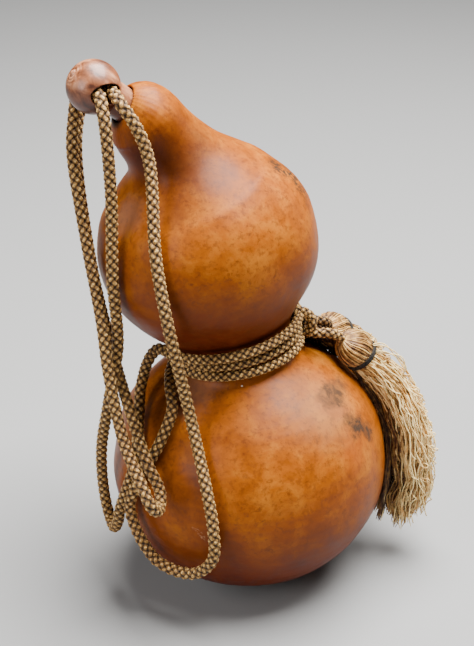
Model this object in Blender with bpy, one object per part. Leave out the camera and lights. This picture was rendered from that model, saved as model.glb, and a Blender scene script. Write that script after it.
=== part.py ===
# Dried bottle gourd flask with its turned stopper, braided cord and two tassels.
# Metres, +Z up. The origin is the middle of the small flat spot that it rests on,
# +X is to the right and +Y points away from the viewer.
from math import cos, exp, pi, radians, sin, sqrt

import bpy
from mathutils import Matrix, Vector

# Driving dimensions. Lists of places are in millimetres, single values in metres.
MM = 0.001
GAP = 0.35 * MM
SPAN = 24

# Gourd: a bent spine, with two lobes, a waist and a rounded neck end along it
SPINE = [(0, 0, 0), (0, 0, 30), (0, 0, 58), (-2.2, 0, 88), (-6.5, 0, 115),
         (-18.8, 0, 157.5), (-33.2, -3.0, 198.0), (-41.2, -6.0, 211.7), (-50.6, -10.3, 222.1)]
UPPER_POINT, NECK_END_POINT = 5, 7
REST_RADIUS = 20 * MM
LOWER_RADIUS, LOWER_HALF = 61.5 * MM, 55.5 * MM
WAIST_RADIUS = 24.2 * MM
UPPER_RADIUS, UPPER_TOP = 46 * MM, 43.5 * MM
NECK_RADIUS, NECK_END_RADIUS = 15.8 * MM, 16.8 * MM
FLARE, FLARE_REACH = 2.6 * MM, 7 * MM
WAIST_BLEND, NECK_POWER = 9 * MM, 2.8
MOUTH_AXIS = Vector((-0.82, -0.318, 0.4765)).normalized()
RIM_WALL = 0.9 * MM
GOURD_SIDES, GOURD_RING_STEP = 40, 4.6 * MM

# Stopper: a turned knob on a shank, with a cross hole for the doubled cord
STOPPER_AXIS = Vector((-0.70, -0.31, 0.645)).normalized()
HOLE_AXIS = Vector((0.396, -0.918, -0.013))
KNOB_RADIUS, KNOB_AT = 10.2 * MM, 14.4 * MM
SHANK_RADIUS, SHANK_TIP_RADIUS, SHANK_DEPTH = 7.0 * MM, 6.5 * MM, 14 * MM
HOLE_RADIUS, HOLE_BELOW_KNOB = 6.4 * MM, 2.4 * MM
STOPPER_SIDES = 32

# Cord: one braided cord, doubled through the stopper and wound round the waist
CORD_DIAMETER, WOUND_DIAMETER = 5.4 * MM, 4.7 * MM
CORD_STEP, TURN_STEP, TURN_LIMIT = 14 * MM, 6.6 * MM, radians(24)
PAIR_SPREAD = 3.0 * MM
TO_FRONT_HOLE = [(-38.4, -13.0, 114.6), (-43.1, -9.0, 107.4), (-46.9, -11.0, 94.5), (-47.3, -18.2, 87.0),
                 (-48.6, -36.0, 72.4), (-55.6, -34.6, 48.6), (-57.2, -31.0, 39.2), (-59.6, -25.6, 32.6),
                 (-61.6, -20.2, 33.4), (-63.8, -18.6, 45.0), (-63.8, -23.0, 70.0), (-58.6, -32.8, 101.1),
                 (-54.2, -30.6, 125.4), (-55.0, -33.4, 156.3), (-54.4, -31.0, 190.0), (-55.2, -31.2, 214.0),
                 (-56.3, -29.2, 224.2)]
FRONT_LOOP = [(-69.0, -0.6, 224.0), (-70.6, -3.0, 214.0), (-71.2, -9.0, 202.0), (-66.5, -19.6, 169.7),
              (-60.3, -32.2, 137.4), (-57.8, -38.3, 116.9), (-51.7, -48.4, 89.9), (-43.6, -61.4, 76.0),
              (-40.9, -63.9, 70.0), (-38.5, -60.6, 64.4), (-37.2, -54.8, 63.0), (-37.4, -50.4, 67.0),
              (-42.6, -46.5, 78.8), (-48.4, -35.0, 91.0), (-52.6, -28.0, 102.0), (-57.4, -24.2, 120.6),
              (-64.6, -17.2, 154.0), (-70.2, -2.2, 202.0), (-67.4, 5.4, 219.0)]
TO_WAIST = [(-49.4, -27.8, 227.4), (-44.8, -28.8, 220.6), (-39.6, -28.6, 206.0), (-36.9, -43.4, 170.5),
            (-32.6, -48.4, 143.8), (-24.2, -42.8, 97.0), (-17.6, -58.9, 72.2), (-15.2, -63.0, 57.4),
            (-15.6, -63.0, 41.6), (-24.8, -57.4, 30.6), (-40.0, -48.6, 31.6), (-50.8, -41.6, 52.0),
            (-46.9, -41.9, 67.2), (-37.7, -38.7, 83.6), (-32.6, -29.0, 94.4), (-33.9, -17.5, 99.0)]

# Winding round the waist, with its two ends spread a little for the free cord
WINDING_TOP, WINDING_PITCH = 120.8 * MM, 5.0 * MM
WINDING_FROM, WINDING_TO = -140, 904
END_SPREAD, END_REACH, END_GAP = 1.5 * MM, 80, 0.9 * MM

# Knot: two crossing strokes over the winding, each going on to a tassel. Each place is
# a length up the spine, an angle round it and a distance out from it
KNOT_STROKES = [[(117.6, 12, 34.3), (115, 10, 34.1), (112, 7, 34.6), (109, 2.5, 36.8), (106.4, 3, 39.2)],
                [(108.5, -3, 37.4), (111, 3, 38.8), (111.5, 9, 39.6), (110, 15, 40.4)]]

# Tassels: places along the middle
TASSEL_FRONT = [(37.7, 4.4, 109.2), (44.0, 6.2, 104.6), (49.6, 8.0, 99.8), (59.0, 9.0, 90.0),
                (67.9, 7.5, 75.0), (72.6, 5.5, 57.5), (73.7, 4.5, 39.7), (71.5, 4.0, 22.0)]
TASSEL_BACK = [(33.0, 16.0, 113.2), (38.2, 22.4, 108.6), (42.4, 27.4, 102.8), (49.0, 34.4, 91.5),
               (56.0, 41.4, 77.0), (60.0, 45.0, 60.0), (60.0, 45.0, 42.0), (57.0, 43.4, 27.0)]
HEAD_LENGTH, HEAD_RADIUS, NECK_OF_HEAD = 13.6 * MM, 7.6 * MM, 5.6 * MM
SKIRT_DEEP, SKIRT_WIDE = 10.2 * MM, 12.6 * MM
BINDING_RADIUS = 0.8 * MM
TASSEL_SIDES = 40


def clear_scene():
    for obj in list(bpy.data.objects):
        bpy.data.objects.remove(obj, do_unlink=True)


def material(name, color, roughness):
    mat = bpy.data.materials.new(name)
    mat.use_nodes = True
    shader = mat.node_tree.nodes["Principled BSDF"]
    shader.inputs["Base Color"].default_value = (*color, 1.0)
    shader.inputs["Roughness"].default_value = roughness
    return mat


def add_mesh(name, verts, faces, mat, sharp=radians(50)):
    mesh = bpy.data.meshes.new(name)
    mesh.from_pydata([tuple(v) for v in verts], [], faces)
    mesh.update()
    mesh.shade_smooth()
    mesh.set_sharp_from_angle(angle=sharp)
    mesh.materials.append(mat)
    obj = bpy.data.objects.new(name, mesh)
    bpy.context.collection.objects.link(obj)
    return obj


def add_cord(name, points, diameter, mat):
    curve = bpy.data.curves.new(name, "CURVE")
    curve.dimensions = "3D"
    curve.bevel_depth = diameter / 2
    curve.bevel_resolution = 4
    curve.use_fill_caps = True
    spline = curve.splines.new("POLY")
    spline.points.add(len(points) - 1)
    for place, p in zip(spline.points, points):
        place.co = (*p, 1.0)
    curve.materials.append(mat)
    obj = bpy.data.objects.new(name, curve)
    bpy.context.collection.objects.link(obj)
    return obj


# Curves: a centripetal Catmull-Rom curve through hand-chosen points
def smooth_curve(points):
    pts = [Vector(p) for p in points]
    pts = [pts[0] * 2 - pts[1]] + pts + [pts[-1] * 2 - pts[-2]]
    out = []
    for p0, p1, p2, p3 in zip(pts, pts[1:], pts[2:], pts[3:]):
        t1 = sqrt((p1 - p0).length)
        t2 = t1 + sqrt((p2 - p1).length)
        t3 = t2 + sqrt((p3 - p2).length)
        for i in range(SPAN):
            t = t1 + (t2 - t1) * i / SPAN
            a1 = p0.lerp(p1, t / t1)
            a2 = p1.lerp(p2, (t - t1) / (t2 - t1))
            a3 = p2.lerp(p3, (t - t2) / (t3 - t2))
            b1 = a1.lerp(a2, t / t2)
            b2 = a2.lerp(a3, (t - t1) / (t3 - t1))
            out.append(b1.lerp(b2, (t - t1) / (t2 - t1)))
    out.append(pts[-2].copy())
    return out


class Path:
    # A polyline that is read by its length from the start
    def __init__(self, points):
        self.points = points
        self.at = [0.0]
        for a, b in zip(points, points[1:]):
            self.at.append(self.at[-1] + (b - a).length)
        self.length = self.at[-1]

    def point(self, s):
        s = min(max(s, 0.0), self.length)
        low, high = 0, len(self.at) - 1
        while high - low > 1:
            mid = (low + high) // 2
            if self.at[mid] <= s:
                low = mid
            else:
                high = mid
        span = self.at[high] - self.at[low]
        return self.points[low].lerp(self.points[high], (s - self.at[low]) / span)

    def tangent(self, s, reach=1.5 * MM):
        return (self.point(s + reach) - self.point(s - reach)).normalized()

    def even_points(self, step):
        count = max(2, round(self.length / step))
        return [self.point(self.length * k / count) for k in range(count + 1)]

    def bend_points(self, step, limit):
        # Points a step apart, and closer where the line turns by more than the limit
        places = [0.0]
        fine = 1.0 * MM
        turned = 0.0
        s = fine
        while s < self.length - step / 3:
            turned += self.tangent(s).angle(self.tangent(s - fine))
            if s - places[-1] >= step or turned >= limit:
                places.append(s)
                turned = 0.0
            s += fine
        return [self.point(s) for s in places + [self.length]]


def millimetres(places):
    return [Vector(p) * MM for p in places]


# Gourd
spine = Path(smooth_curve(millimetres(SPINE)))
LOWER_AT = LOWER_HALF * sqrt(1 - (REST_RADIUS / LOWER_RADIUS) ** 2)
UPPER_AT = spine.at[UPPER_POINT * SPAN]
NECK_END_AT = spine.at[NECK_END_POINT * SPAN]


def dome(s, centre, radius, half):
    share = (s - centre) / half
    return radius * sqrt(max(0.0, 1 - share * share))


def blend_max(a, b, width):
    near = max(width - abs(a - b), 0.0)
    return max(a, b) + near * near / (4 * width)


def gourd_radius(s):
    # The profile along the spine: lobes joined by rounded hollows
    lower = dome(s, LOWER_AT, LOWER_RADIUS, LOWER_HALF)
    upper = dome(s, UPPER_AT, UPPER_RADIUS, UPPER_RADIUS if s < UPPER_AT else UPPER_TOP)
    if s < LOWER_AT:
        return lower
    if s < UPPER_AT:
        waist = blend_max(lower, WAIST_RADIUS, WAIST_BLEND)
        return blend_max(waist, upper, WAIST_BLEND)
    if s < NECK_END_AT:
        share = (s - UPPER_AT) / (NECK_END_AT - UPPER_AT)
        neck = NECK_RADIUS + (NECK_END_RADIUS - NECK_RADIUS) * share ** 3
        neck += FLARE * exp(-((s - UPPER_AT - UPPER_TOP) / FLARE_REACH) ** 2)
        grown = upper ** NECK_POWER + (neck * share ** 0.4) ** NECK_POWER
        return grown ** (1 / NECK_POWER)
    return dome(s, NECK_END_AT, NECK_END_RADIUS, NECK_END_RADIUS)


def across_and_up(axis):
    across = Vector((0, 1, 0)).cross(axis).normalized()
    return across, axis.cross(across)


def ring(centre, axis, radius, sides):
    across, up = across_and_up(axis)
    turn = 2 * pi / sides
    return [centre + (across * cos(k * turn) + up * sin(k * turn)) * radius for k in range(sides)]


def loft(rings, end=None):
    # Side faces between rings, a flat cap at the start and a cap or a fan at the end
    verts = [v for one in rings for v in one]
    sides = len(rings[0])
    faces = [tuple(range(sides - 1, -1, -1))]
    for r in range(len(rings) - 1):
        for k in range(sides):
            a, b = r * sides + k, r * sides + (k + 1) % sides
            faces.append((a, b, b + sides, a + sides))
    last = (len(rings) - 1) * sides
    if end is None:
        faces.append(tuple(range(last, last + sides)))
    else:
        verts.append(end)
        faces += [(last + k, last + (k + 1) % sides, last + sides) for k in range(sides)]
    return verts, faces


def gourd_stations():
    # Places along the spine that are evenly spaced along the outline
    fine = 0.2 * MM
    stations = [0.0]
    travelled = 0.0
    s = 0.0
    while s < spine.length - fine:
        rise = gourd_radius(s + fine) - gourd_radius(s)
        travelled += sqrt(fine * fine + rise * rise)
        s += fine
        if travelled >= GOURD_RING_STEP:
            stations.append(s)
            travelled = 0.0
    if spine.length - stations[-1] < GOURD_RING_STEP / 2:
        stations.pop()
    return stations + [spine.length]


def make_gourd(mat):
    rings = []
    for s in gourd_stations():
        axis = Vector((0, 0, 1)) if s == 0 else spine.tangent(s)
        if s > NECK_END_AT:
            share = (s - NECK_END_AT) / (spine.length - NECK_END_AT)
            axis = axis.lerp(MOUTH_AXIS, share).normalized()
        rings.append(ring(spine.point(s), axis, gourd_radius(s), GOURD_SIDES))
    mouth = spine.point(spine.length)
    rings.append(ring(mouth, MOUTH_AXIS, gourd_radius(spine.length) - RIM_WALL, GOURD_SIDES))
    for depth, radius in ((2.5 * MM, SHANK_RADIUS + GAP), (SHANK_DEPTH + 2 * GAP, SHANK_TIP_RADIUS + GAP)):
        rings.append(ring(mouth - STOPPER_AXIS * depth, STOPPER_AXIS, radius, GOURD_SIDES))
    verts, faces = loft(rings)
    return add_mesh("gourd", verts, faces, mat)


# Stopper
def stopper_frame():
    # Local Z runs out of the mouth, local X along the cross hole
    z = STOPPER_AXIS
    y = z.cross(HOLE_AXIS).normalized()
    x = y.cross(z)
    turn = Matrix((x, y, z)).transposed()
    return Matrix.Translation(spine.point(spine.length)) @ turn.to_4x4()


def stopper_profile():
    # Radius and height from the shank's tip up to the knob's pole
    points = [(SHANK_TIP_RADIUS - 0.8 * MM, -SHANK_DEPTH),
              (SHANK_TIP_RADIUS, -SHANK_DEPTH + 0.8 * MM),
              (SHANK_RADIUS - 0.1 * MM, -1.5 * MM),
              (SHANK_RADIUS - 0.1 * MM, 2 * MM),
              (SHANK_RADIUS - 0.3 * MM, 4.2 * MM)]
    first, last, rows = -44, 84, 13
    for k in range(rows):
        angle = radians(first + (last - first) * k / (rows - 1))
        points.append((KNOB_RADIUS * cos(angle), KNOB_AT + KNOB_RADIUS * sin(angle)))
    return points


def make_stopper(mat):
    up = Vector((0, 0, 1))
    rings = [ring(up * height, up, radius, STOPPER_SIDES) for radius, height in stopper_profile()]
    verts, faces = loft(rings)
    stopper = add_mesh("stopper", verts, faces, mat)
    stopper.matrix_world = stopper_frame()
    half = 2 * KNOB_RADIUS
    hole = [ring(Vector((x, 0, KNOB_AT - HOLE_BELOW_KNOB)), Vector((1, 0, 0)), HOLE_RADIUS, STOPPER_SIDES)
            for x in (-half, half)]
    verts, faces = loft(hole)
    cutter = add_mesh("hole_cutter", verts, faces, mat)
    cutter.matrix_world = stopper_frame()
    cutter.hide_render = True
    cutter.display_type = "WIRE"
    cut = stopper.modifiers.new("cross hole", "BOOLEAN")
    cut.operation = "DIFFERENCE"
    cut.object = cutter
    return stopper


# Winding
def resting_radius(s, reach):
    # How far out a round thing of this radius sits when it touches the gourd
    return max(gourd_radius(s + reach * sin(radians(tilt))) + reach * cos(radians(tilt))
               for tilt in range(-80, 90, 10))


def waist_point(s, degrees, radius):
    across, up = across_and_up(spine.tangent(s))
    angle = radians(degrees)
    return spine.point(s) + (across * cos(angle) + up * sin(angle)) * radius


def winding_points():
    points = []
    reach = WOUND_DIAMETER / 2 + 2.4 * GAP
    steps = 150
    for k in range(steps + 1):
        turned = (WINDING_TO - WINDING_FROM) * k / steps
        left = WINDING_TO - WINDING_FROM - turned
        s = WINDING_TOP - WINDING_PITCH * turned / 360
        s += END_SPREAD * max(0.0, 1 - turned / END_REACH) ** 2
        s -= END_SPREAD * max(0.0, 1 - left / END_REACH) ** 2
        points.append(waist_point(s, WINDING_FROM + turned, resting_radius(s, reach)))
    return points


def make_winding(mat):
    path = Path(winding_points())
    return add_cord("waist_winding", path.even_points(TURN_STEP), WOUND_DIAMETER, mat)


# Free loops
def hole_pass(side, start):
    # Places of one cord in the stopper's hole, from the start's sign to the other
    frame = stopper_frame()
    height = KNOB_AT - HOLE_BELOW_KNOB
    level = Vector((0, 0, 1)).cross(HOLE_AXIS).normalized()
    out = []
    for x in (9.8 * MM, 0.0, -9.8 * MM):
        out.append(frame @ Vector((x, 0, height)) + level * (side * PAIR_SPREAD))
    return out if start > 0 else out[::-1]


def cord_points():
    # From the winding's start, through the stopper twice, to the winding's end
    wound = winding_points()
    first = wound[0] + (wound[0] - wound[1]).normalized() * END_GAP
    last = wound[-1] + (wound[-1] - wound[-2]).normalized() * END_GAP
    route = [first] + millimetres(TO_FRONT_HOLE) + hole_pass(-1, 1) + millimetres(FRONT_LOOP)
    route += hole_pass(1, -1) + millimetres(TO_WAIST) + [last]
    return smooth_curve(route)


def make_loops(mat):
    path = Path(cord_points())
    return add_cord("cord_loops", path.bend_points(CORD_STEP, TURN_LIMIT), CORD_DIAMETER, mat)


# Knot
def tube(points, radius, sides):
    # Rings along a polyline, each turned as little as possible from the one before
    rings = []
    side = None
    for k, p in enumerate(points):
        ahead = points[min(k + 1, len(points) - 1)] - points[max(k - 1, 0)]
        axis = ahead.normalized()
        if side is None:
            side = axis.orthogonal()
        side = (side - axis * side.dot(axis)).normalized()
        other = axis.cross(side)
        turn = 2 * pi / sides
        rings.append([p + (side * cos(i * turn) + other * sin(i * turn)) * radius for i in range(sides)])
    return loft(rings)


def make_knot(mat):
    strokes = []
    for number, (stroke, tassel) in enumerate(zip(KNOT_STROKES, (TASSEL_FRONT, TASSEL_BACK))):
        points = [waist_point(s * MM, degrees, radius * MM) for s, degrees, radius in stroke]
        pole, inner = millimetres(tassel[:2])
        away = (pole - inner).normalized()
        points += [pole + away * 2.5 * MM, pole + away * GAP]
        path = Path(smooth_curve(points))
        verts, faces = tube(path.even_points(2.4 * MM), CORD_DIAMETER / 2, 12)
        strokes.append(add_mesh("knot" if number == 0 else "knot_stroke", verts, faces, mat))
    knot, other = strokes
    other.hide_render = True
    other.display_type = "WIRE"
    joined = knot.modifiers.new("second stroke", "BOOLEAN")
    joined.operation = "UNION"
    joined.object = other
    return knot


# Tassels
def tassel_frame(path, s):
    # Along the tassel, away from the gourd, and sideways
    axis = path.tangent(s)
    centre = path.point(s)
    away = Vector((centre.x, centre.y, 0)).normalized()
    away = (away - axis * away.dot(axis)).normalized()
    return centre, axis, away, axis.cross(away)


def tassel_halves(s, length):
    # Half depth and half width: a domed head, a tied neck, then the spreading skirt
    if s < HEAD_LENGTH:
        share = s / HEAD_LENGTH
        swell = sin(pi * min(1.0, 0.16 + 0.84 * share) ** 0.82)
        half = NECK_OF_HEAD * share + (HEAD_RADIUS - NECK_OF_HEAD * 0.45) * max(0.0, swell)
        return max(half, 2.4 * MM), max(half, 2.4 * MM)
    share = (s - HEAD_LENGTH) / (length - HEAD_LENGTH)
    spread = sin(pi / 2 * min(1.0, share / 0.55)) ** 0.8 * (1 - 0.12 * max(0.0, share - 0.75) / 0.25)
    deep = NECK_OF_HEAD + (SKIRT_DEEP - NECK_OF_HEAD) * spread
    wide = NECK_OF_HEAD + (SKIRT_WIDE - NECK_OF_HEAD) * spread
    return deep, wide


def tassel_stations(length):
    head = [HEAD_LENGTH * share for share in (0, 0.06, 0.16, 0.3, 0.45, 0.6, 0.74, 0.86, 0.94, 1.0)]
    skirt = [HEAD_LENGTH + (length - HEAD_LENGTH) * (k / 14) ** 1.25 for k in range(1, 15)]
    return head + skirt


def make_tassel(name, places, phase, mat):
    path = Path(smooth_curve(millimetres(places)))
    rings = []
    for s in tassel_stations(path.length):
        centre, axis, away, sideways = tassel_frame(path, s)
        deep, wide = tassel_halves(s, path.length)
        skirt = max(0.0, (s - HEAD_LENGTH) / (path.length - HEAD_LENGTH))
        one = []
        for k in range(TASSEL_SIDES):
            angle = 2 * pi * k / TASSEL_SIDES
            flute = 0.05 * cos(10 * angle) * min(1.0, 8 * skirt)
            clump = 0.06 * sin(3 * angle + phase + 5 * skirt) * skirt
            grow = 1 + flute + clump
            hem = (2.2 * cos(5 * angle + phase) + 1.2 * cos(13 * angle)) * MM * max(0.0, skirt - 0.8) * 5
            one.append(centre + away * (deep * grow * cos(angle)) + sideways * (wide * grow * sin(angle))
                       + axis * hem)
        rings.append(one)
    end = path.point(path.length) - path.tangent(path.length) * 3 * MM
    verts, faces = loft(rings, end)
    return add_mesh(name, verts, faces, mat)


def make_binding(name, places, mat):
    # The thread tied round the tassel between its head and its skirt
    path = Path(smooth_curve(millimetres(places)))
    centre, axis, away, sideways = tassel_frame(path, HEAD_LENGTH)
    around, section = 32, 8
    major = NECK_OF_HEAD + GAP + BINDING_RADIUS
    verts = []
    for k in range(around):
        angle = 2 * pi * k / around
        out = away * cos(angle) + sideways * sin(angle)
        for i in range(section):
            tilt = 2 * pi * i / section
            verts.append(centre + out * (major + BINDING_RADIUS * cos(tilt)) + axis * (BINDING_RADIUS * sin(tilt)))
    faces = []
    for k in range(around):
        for i in range(section):
            a, b = k * section + i, k * section + (i + 1) % section
            c, d = (k + 1) % around * section + (i + 1) % section, (k + 1) % around * section + i
            faces.append((a, d, c, b))
    return add_mesh(name, verts, faces, mat)


def build():
    clear_scene()
    skin = material("gourd skin", (0.45, 0.17, 0.05), 0.35)
    wood = material("turned wood", (0.33, 0.16, 0.10), 0.45)
    braid = material("braided cord", (0.42, 0.30, 0.17), 0.8)
    yarn = material("tassel yarn", (0.50, 0.37, 0.22), 0.75)
    thread = material("dark thread", (0.06, 0.05, 0.05), 0.8)
    make_gourd(skin)
    make_stopper(wood)
    make_winding(braid)
    make_loops(braid)
    make_knot(braid)
    make_tassel("tassel_front", TASSEL_FRONT, 0.4, yarn)
    make_tassel("tassel_back", TASSEL_BACK, 2.1, yarn)
    make_binding("binding_front", TASSEL_FRONT, thread)
    make_binding("binding_back", TASSEL_BACK, thread)


build()
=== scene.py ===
from math import cos, exp, pi, radians, sin, sqrt

import bpy
import numpy as np
from mathutils import Matrix, Vector, noise


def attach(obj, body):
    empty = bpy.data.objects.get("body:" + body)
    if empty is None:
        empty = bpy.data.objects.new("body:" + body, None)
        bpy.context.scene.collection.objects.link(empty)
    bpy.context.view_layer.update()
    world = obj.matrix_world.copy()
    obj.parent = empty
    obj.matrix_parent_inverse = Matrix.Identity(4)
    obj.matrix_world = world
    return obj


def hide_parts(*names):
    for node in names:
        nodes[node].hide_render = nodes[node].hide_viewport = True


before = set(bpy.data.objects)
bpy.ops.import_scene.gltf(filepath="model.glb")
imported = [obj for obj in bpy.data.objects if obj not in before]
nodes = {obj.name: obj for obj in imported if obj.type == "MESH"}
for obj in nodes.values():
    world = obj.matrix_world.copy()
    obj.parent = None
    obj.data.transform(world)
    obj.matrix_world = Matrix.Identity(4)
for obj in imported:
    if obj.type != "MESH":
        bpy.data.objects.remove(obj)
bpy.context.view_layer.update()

# A dried bottle gourd flask: skin, turned stopper, braided cord and two tassels.
# Lists of places are in metres, in the CAD model's frame.
random = np.random.default_rng(11)
mm = 0.001


studio = {
    "cameraAt": (-0.0054, -0.5702, 0.4108), "cameraTilt": 63.0, "lens": 83.03, "sensorHeight": 36,
    "skyColor": (0.90, 0.93, 1.0), "skyStrength": 0.05,
    "floorSize": 40, "floorColor": (0.30, 0.297, 0.29), "floorRoughness": 0.85,
    "lightsFace": (-0.01, 0, 0.12),
    "lights": {  # place, width and height, power, color
        "topSoftbox": ((0.20, 0.10, 1.00), (0.90, 0.65), 57.0, (1, 1, 1)),
        "leftWindow": ((-0.66, -0.56, 0.50), (0.45, 0.5), 6.0, (0.98, 0.98, 1.0)),
        "rightRim": ((0.80, 0.30, 0.40), (0.3, 0.5), 1.0, (1.0, 0.97, 0.92)),
        "frontFill": ((0.30, -0.95, 0.40), (0.7, 0.5), 0.35, (1.0, 0.97, 0.93)),
    },
}


def addLight(name, place, size, power, color):
    bpy.ops.object.light_add(type="AREA", location=place)
    light = bpy.context.object
    light.name = name
    light.data.shape = "RECTANGLE"
    light.data.size, light.data.size_y = size
    light.data.energy = power
    light.data.color = color
    towards = Vector(studio["lightsFace"]) - Vector(place)
    light.rotation_euler = towards.to_track_quat("-Z", "Y").to_euler()


def addStudio():
    tilt = radians(studio["cameraTilt"])
    bpy.ops.object.camera_add(location=studio["cameraAt"], rotation=(tilt, 0, 0))
    camera = bpy.context.object
    camera.data.sensor_fit = "VERTICAL"
    camera.data.sensor_height = studio["sensorHeight"]
    camera.data.lens = studio["lens"]
    camera.data.clip_start = 0.01
    bpy.context.scene.camera = camera

    world = bpy.data.worlds.new("studioWorld")
    world.use_nodes = True
    sky = world.node_tree.nodes["Background"]
    setSockets(sky, {"Color": (*studio["skyColor"], 1), "Strength": studio["skyStrength"]})
    bpy.context.scene.world = world
    for name, values in studio["lights"].items():
        addLight(name, *values)

    bpy.ops.mesh.primitive_plane_add(size=studio["floorSize"])
    floor = bpy.context.object
    floor.name = "paleFloor"
    material, tree, shader = newMaterial("paleFloorPaint")
    setSockets(shader, {"Base Color": (*studio["floorColor"], 1),
                        "Roughness": studio["floorRoughness"]})
    floor.data.materials.append(material)
    print("camera, lights and floor are in place")


# small helpers for materials and meshes
def newMaterial(name):
    material = bpy.data.materials.new(name)
    material.use_nodes = True
    tree = material.node_tree
    return material, tree, tree.nodes["Principled BSDF"]


def addNode(tree, kind, **settings):
    node = tree.nodes.new(kind)
    for key, value in settings.items():
        setattr(node, key, value)
    return node


def plug(tree, source, target):
    tree.links.new(source, target)


def setSockets(node, values):
    for socket, value in values.items():
        node.inputs[socket].default_value = value


def objectPlace(tree):
    return addNode(tree, "ShaderNodeTexCoord").outputs["Object"]


def attributeValue(tree, name):
    return addNode(tree, "ShaderNodeAttribute", attribute_name=name).outputs["Fac"]


def noiseTexture(tree, vector, scale, detail=4.0, roughness=0.55, distortion=0.0, output="Fac"):
    node = addNode(tree, "ShaderNodeTexNoise")
    setSockets(node, {"Scale": scale, "Detail": detail, "Roughness": roughness,
                      "Distortion": distortion})
    plug(tree, vector, node.inputs["Vector"])
    return node.outputs[output]


def mapRange(tree, value, low, high, outLow=0.0, outHigh=1.0):
    node = addNode(tree, "ShaderNodeMapRange", interpolation_type="SMOOTHSTEP")
    setSockets(node, {"From Min": low, "From Max": high, "To Min": outLow, "To Max": outHigh})
    plug(tree, value, node.inputs["Value"])
    return node.outputs["Result"]


def mathNode(tree, operation, first, second):
    node = addNode(tree, "ShaderNodeMath", operation=operation)
    for socket, value in zip(node.inputs, (first, second)):
        if isinstance(value, (int, float)):
            socket.default_value = value
        else:
            plug(tree, value, socket)
    return node.outputs[0]


def weighted(tree, first, share, second, otherShare):
    return mathNode(tree, "ADD", mathNode(tree, "MULTIPLY", first, share),
                    mathNode(tree, "MULTIPLY", second, otherShare))


def distanceFrom(tree, vector, place):
    node = addNode(tree, "ShaderNodeVectorMath", operation="DISTANCE")
    plug(tree, vector, node.inputs[0])
    node.inputs[1].default_value = place
    return node.outputs["Value"]


def underneath(tree, uneven, share, low, high):
    # 1 where the surface faces down, with an uneven edge
    facing = addNode(tree, "ShaderNodeSeparateXYZ")
    plug(tree, addNode(tree, "ShaderNodeNewGeometry").outputs["Normal"], facing.inputs[0])
    height = mathNode(tree, "ADD", facing.outputs[2], mathNode(tree, "MULTIPLY", uneven, share))
    return mapRange(tree, height, low, high)


def mixColor(tree, factor, first, second, blend="MIX"):
    node = addNode(tree, "ShaderNodeMix", data_type="RGBA", blend_type=blend)
    if isinstance(factor, (int, float)):
        node.inputs[0].default_value = factor
    else:
        plug(tree, factor, node.inputs[0])
    for socket, value in ((node.inputs[6], first), (node.inputs[7], second)):
        if isinstance(value, tuple):
            socket.default_value = (*value, 1)
        else:
            plug(tree, value, socket)
    return node.outputs[2]


def colorRamp(tree, value, stops):
    node = addNode(tree, "ShaderNodeValToRGB")
    ramp = node.color_ramp
    while len(ramp.elements) < len(stops):
        ramp.elements.new(0.5)
    for element, (place, color) in zip(ramp.elements, stops):
        element.position = place
        element.color = (*color, 1)
    plug(tree, value, node.inputs["Fac"])
    return node.outputs["Color"]


def addBump(tree, shader, height, strength, distance):
    bump = addNode(tree, "ShaderNodeBump")
    setSockets(bump, {"Strength": strength, "Distance": distance})
    plug(tree, height, bump.inputs["Height"])
    plug(tree, bump.outputs["Normal"], shader.inputs["Normal"])


def onlySelect(piece):
    bpy.ops.object.select_all(action="DESELECT")
    piece.select_set(True)
    bpy.context.view_layer.objects.active = piece


def applyModifiers(piece):
    onlySelect(piece)
    for modifier in list(piece.modifiers):
        bpy.ops.object.modifier_apply(modifier=modifier.name)


def meshFrom(name, points, faces, material, attributes=None):
    mesh = bpy.data.meshes.new(name)
    mesh.from_pydata(points.tolist(), [], faces.tolist() if hasattr(faces, "tolist") else faces)
    for key, values in (attributes or {}).items():
        layer = mesh.attributes.new(key, "FLOAT", "POINT")
        layer.data.foreach_set("value", np.asarray(values, dtype=np.float32))
    mesh.materials.append(material)
    mesh.shade_smooth()
    mesh.update()
    piece = bpy.data.objects.new(name, mesh)
    bpy.context.scene.collection.objects.link(piece)
    return piece


def finishPiece(piece, replaced):
    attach(piece, "root")
    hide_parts(replaced)


curveSteps = 24  # points on a smooth curve between two given ones


# curves, and the gourd's own profile, which the winding lies on
def smoothCurve(points):
    # a centripetal Catmull-Rom curve through the points
    points = [np.array(p, dtype=float) for p in points]
    points = [2 * points[0] - points[1]] + points + [2 * points[-1] - points[-2]]
    line = []
    for p0, p1, p2, p3 in zip(points, points[1:], points[2:], points[3:]):
        t1 = sqrt(np.linalg.norm(p1 - p0))
        t2 = t1 + sqrt(np.linalg.norm(p2 - p1))
        t3 = t2 + sqrt(np.linalg.norm(p3 - p2))
        for i in range(curveSteps):
            t = t1 + (t2 - t1) * i / curveSteps
            a1 = p0 + (p1 - p0) * t / t1
            a2 = p1 + (p2 - p1) * (t - t1) / (t2 - t1)
            a3 = p2 + (p3 - p2) * (t - t2) / (t3 - t2)
            b1 = a1 + (a2 - a1) * t / t2
            b2 = a2 + (a3 - a2) * (t - t1) / (t3 - t1)
            line.append(b1 + (b2 - b1) * (t - t1) / (t2 - t1))
    line.append(points[-2])
    return np.array(line)


class Line:
    # a polyline that is read by its length from the start
    def __init__(self, points):
        self.points = np.asarray(points)
        steps = np.linalg.norm(np.diff(self.points, axis=0), axis=1)
        self.at = np.concatenate([[0], np.cumsum(steps)])
        self.length = float(self.at[-1])

    def place(self, s):
        s = np.clip(s, 0, self.length)
        return np.stack([np.interp(s, self.at, self.points[:, k]) for k in range(3)], -1)

    def direction(self, s, reach=0.0015):
        s = np.clip(s, 0, self.length)
        ahead = self.place(s + reach) - self.place(s - reach)
        return ahead / np.linalg.norm(ahead, axis=-1, keepdims=True)


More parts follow.
